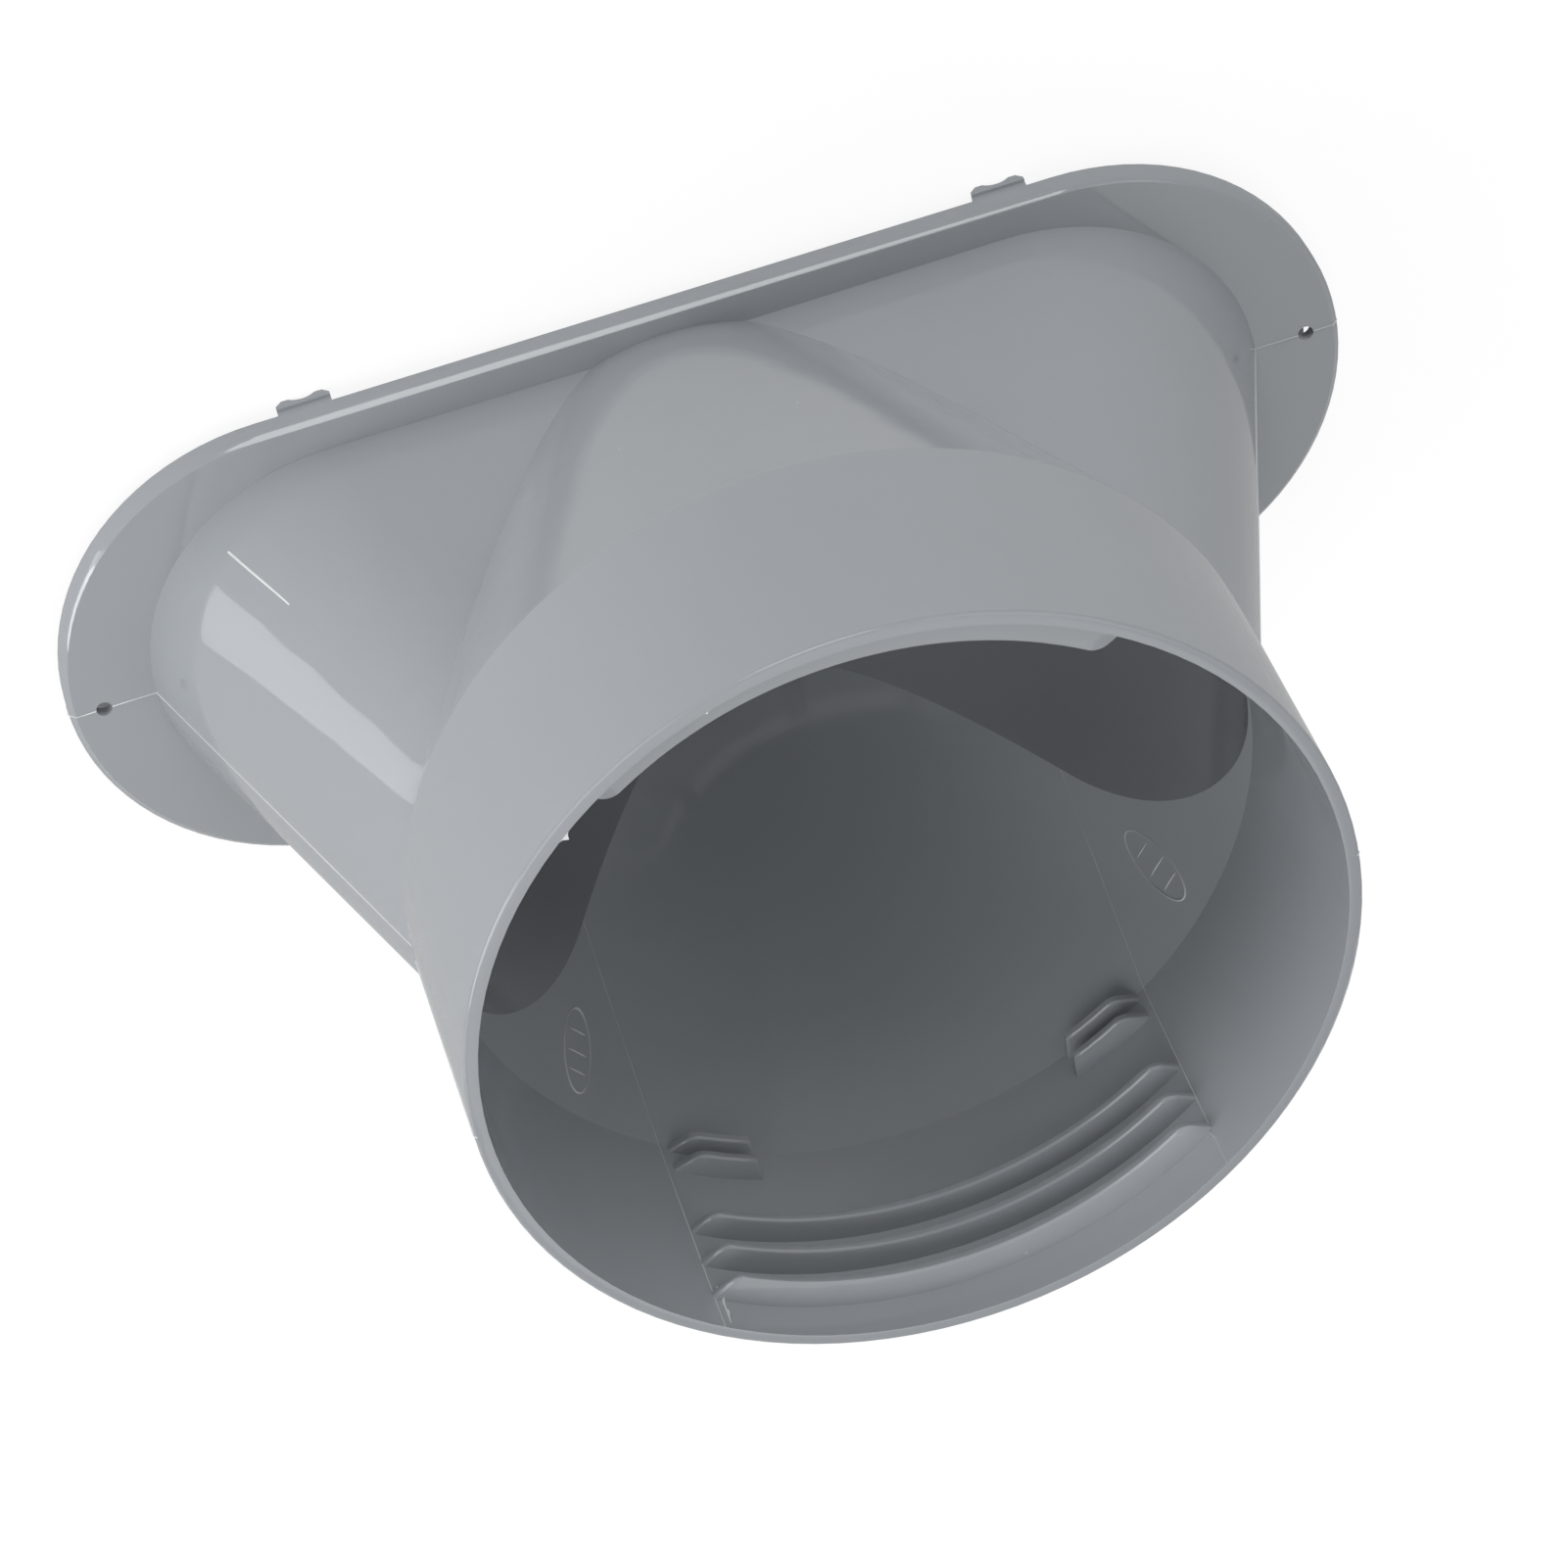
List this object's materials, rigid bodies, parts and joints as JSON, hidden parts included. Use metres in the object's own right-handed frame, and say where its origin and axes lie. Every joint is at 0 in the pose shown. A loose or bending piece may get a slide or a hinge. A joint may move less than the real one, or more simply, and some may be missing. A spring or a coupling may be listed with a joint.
{
  "type": "exhaust hose coupler",
  "caption": "Moulded plastic coupler with an oblong flange, a tapered flat duct and a round collar, ribbed inside to grip a flexible exhaust hose.",
  "frame": {"origin": "middle of the footprint, at the tips of the lugs behind the flange", "axes": "+X along the flange's long axis, +Z along the collar's axis from the flange to the hose mouth, -Y is the side the picture shows"},
  "size_m": [0.246, 0.1544, 0.1489],
  "materials": {
    "moulded_plastic": "satin injection moulding, mid grey"
  },
  "bodies": {
    "root": {"hose_coupler": "moulded_plastic"}
  },
  "joints": []
}
